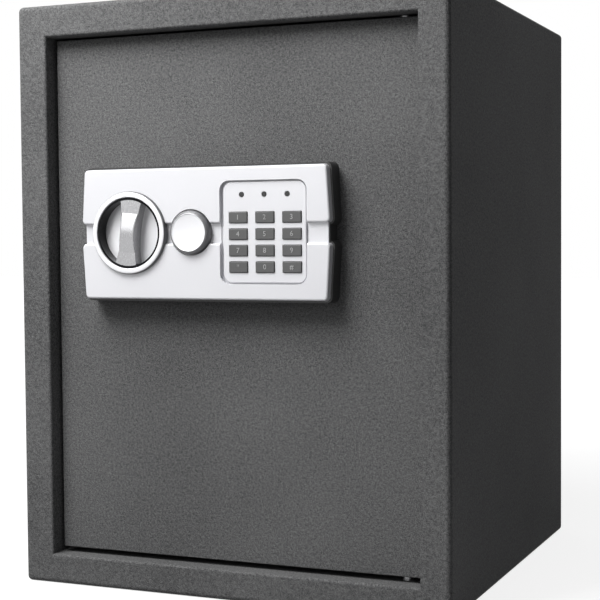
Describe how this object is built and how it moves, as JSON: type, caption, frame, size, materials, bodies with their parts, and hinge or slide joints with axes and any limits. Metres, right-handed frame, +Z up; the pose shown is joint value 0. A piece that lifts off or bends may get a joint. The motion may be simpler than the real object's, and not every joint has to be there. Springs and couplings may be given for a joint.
{
  "type": "electronic safe",
  "caption": "Upright sheet steel safe with a recessed hinged door, silver lock panel with keypad and turn knob, key override, sliding bolts and a removable shelf.",
  "frame": {"origin": "centre of the base, on the floor", "axes": "+X to the right seen from the front, +Y to the back, +Z up; the door faces -Y"},
  "size_m": [0.35, 0.3506, 0.45],
  "materials": {
    "charcoal_paint": "textured",
    "inner_paint": "satin",
    "felt": "felt",
    "steel": "zinc plated",
    "bolt_chrome": "polished",
    "brass": "satin",
    "zinc_body": "plated",
    "silver_plastic": "metallic silver",
    "key_plastic": "matte",
    "lamp_plastic": "glossy",
    "black_plastic": "matte",
    "cell_wrap": "gloss",
    "red_plastic": "gloss",
    "board_green": "matte"
  },
  "bodies": {
    "cabinet": {"cabinet_shell": "charcoal_paint", "front_frame": "charcoal_paint", "back_panel": "inner_paint", "floor_mat": "felt", "shelf_ledge_left": "inner_paint", "shelf_ledge_right": "inner_paint", "hinge_pin_top": "steel", "hinge_pin_bottom": "steel"},
    "door": {"battery_box": "black_plastic", "battery_cell_1": "cell_wrap", "battery_cell_2": "cell_wrap", "battery_cell_3": "cell_wrap", "battery_cell_4": "cell_wrap", "carriage_stud_lower": "steel", "carriage_stud_upper": "steel", "circuit_board": "board_green", "cover_screw_1": "steel", "cover_screw_2": "steel", "door_pan": "inner_paint", "door_plate": "charcoal_paint", "hinge_lug_bottom": "steel", "hinge_lug_top": "steel", "keypad_plate": "silver_plastic", "knob_bush": "brass", "knob_ring": "silver_plastic", "lamp_strip": "lamp_plastic", "lock_body": "zinc_body", "lock_cover": "inner_paint", "lock_nut": "brass", "lock_panel": "silver_plastic", "panel_base": "black_plastic", "ribbon_cable": "black_plastic", "solenoid_coil": "black_plastic", "solenoid_frame": "steel"},
    "knob": {"knob": "silver_plastic", "knob_shaft": "steel", "crank": "steel", "shaft_clip": "steel"},
    "carriage": {"bolt_carriage": "steel", "locking_bolt_lower": "bolt_chrome", "locking_bolt_upper": "bolt_chrome"},
    "plunger": {"plunger": "steel"},
    "override": {"key_barrel": "brass", "override_cam": "steel"},
    "reset": {"reset_button": "red_plastic"},
    "battery_cover": {"battery_cover": "black_plastic"},
    "key_cover": {"key_cover": "silver_plastic"},
    "shelf": {"shelf": "inner_paint"},
    "key_1": {"key_1": "key_plastic"},
    "key_4": {"key_4": "key_plastic"},
    "key_7": {"key_7": "key_plastic"},
    "key_left": {"key_left": "key_plastic"},
    "key_2": {"key_2": "key_plastic"},
    "key_5": {"key_5": "key_plastic"},
    "key_8": {"key_8": "key_plastic"},
    "key_0": {"key_0": "key_plastic"},
    "key_3": {"key_3": "key_plastic"},
    "key_6": {"key_6": "key_plastic"},
    "key_9": {"key_9": "key_plastic"},
    "key_right": {"key_right": "key_plastic"}
  },
  "joints": [
    {"name": "door_hinge", "type": "hinge", "parent": "cabinet", "child": "door", "pos_m": [0.136, -0.1476, 0.2], "axis": [0, 0, 1], "range_deg": [0, 100]},
    {"name": "knob_turn", "type": "hinge", "parent": "door", "child": "knob", "pos_m": [-0.074, -0.16, 0.274], "axis": [0, 1, 0], "range_deg": [-90, 0]},
    {"name": "bolt_slide", "type": "slide", "parent": "door", "child": "carriage", "axis": [1, 0, 0], "range_m": [-0.0198, 0]},
    {"name": "plunger_slide", "type": "slide", "parent": "door", "child": "plunger", "axis": [0, 0, -1], "range_m": [0, 0.007]},
    {"name": "override_turn", "type": "hinge", "parent": "door", "child": "override", "pos_m": [-0.0225, -0.15, 0.274], "axis": [0, 1, 0], "range_deg": [-90, 0]},
    {"name": "reset_press", "type": "slide", "parent": "door", "child": "reset", "axis": [0, -1, 0], "range_m": [0, 0.002], "stiffness_N_per_m": 300},
    {"name": "battery_cover_slide", "type": "slide", "parent": "door", "child": "battery_cover", "axis": [0, 0, -1], "range_m": [0, 0.07]},
    {"name": "key_cover_pull", "type": "slide", "parent": "door", "child": "key_cover", "axis": [0, -1, 0], "range_m": [0, 0.02]},
    {"name": "shelf_lift", "type": "slide", "parent": "cabinet", "child": "shelf", "axis": [0, 0, 1], "range_m": [0, 0.05]},
    {"name": "key_1_press", "type": "slide", "parent": "door", "child": "key_1", "axis": [0, 1, 0], "range_m": [0, 0.0012], "stiffness_N_per_m": 400},
    {"name": "key_4_press", "type": "slide", "parent": "door", "child": "key_4", "axis": [0, 1, 0], "range_m": [0, 0.0012], "stiffness_N_per_m": 400},
    {"name": "key_7_press", "type": "slide", "parent": "door", "child": "key_7", "axis": [0, 1, 0], "range_m": [0, 0.0012], "stiffness_N_per_m": 400},
    {"name": "key_left_press", "type": "slide", "parent": "door", "child": "key_left", "axis": [0, 1, 0], "range_m": [0, 0.0012], "stiffness_N_per_m": 400},
    {"name": "key_2_press", "type": "slide", "parent": "door", "child": "key_2", "axis": [0, 1, 0], "range_m": [0, 0.0012], "stiffness_N_per_m": 400},
    {"name": "key_5_press", "type": "slide", "parent": "door", "child": "key_5", "axis": [0, 1, 0], "range_m": [0, 0.0012], "stiffness_N_per_m": 400},
    {"name": "key_8_press", "type": "slide", "parent": "door", "child": "key_8", "axis": [0, 1, 0], "range_m": [0, 0.0012], "stiffness_N_per_m": 400},
    {"name": "key_0_press", "type": "slide", "parent": "door", "child": "key_0", "axis": [0, 1, 0], "range_m": [0, 0.0012], "stiffness_N_per_m": 400},
    {"name": "key_3_press", "type": "slide", "parent": "door", "child": "key_3", "axis": [0, 1, 0], "range_m": [0, 0.0012], "stiffness_N_per_m": 400},
    {"name": "key_6_press", "type": "slide", "parent": "door", "child": "key_6", "axis": [0, 1, 0], "range_m": [0, 0.0012], "stiffness_N_per_m": 400},
    {"name": "key_9_press", "type": "slide", "parent": "door", "child": "key_9", "axis": [0, 1, 0], "range_m": [0, 0.0012], "stiffness_N_per_m": 400},
    {"name": "key_right_press", "type": "slide", "parent": "door", "child": "key_right", "axis": [0, 1, 0], "range_m": [0, 0.0012], "stiffness_N_per_m": 400}
  ],
  "couplings": [
    {"joint": "knob_turn", "follows": "bolt_slide", "rad_per_m": 79.33}
  ]
}
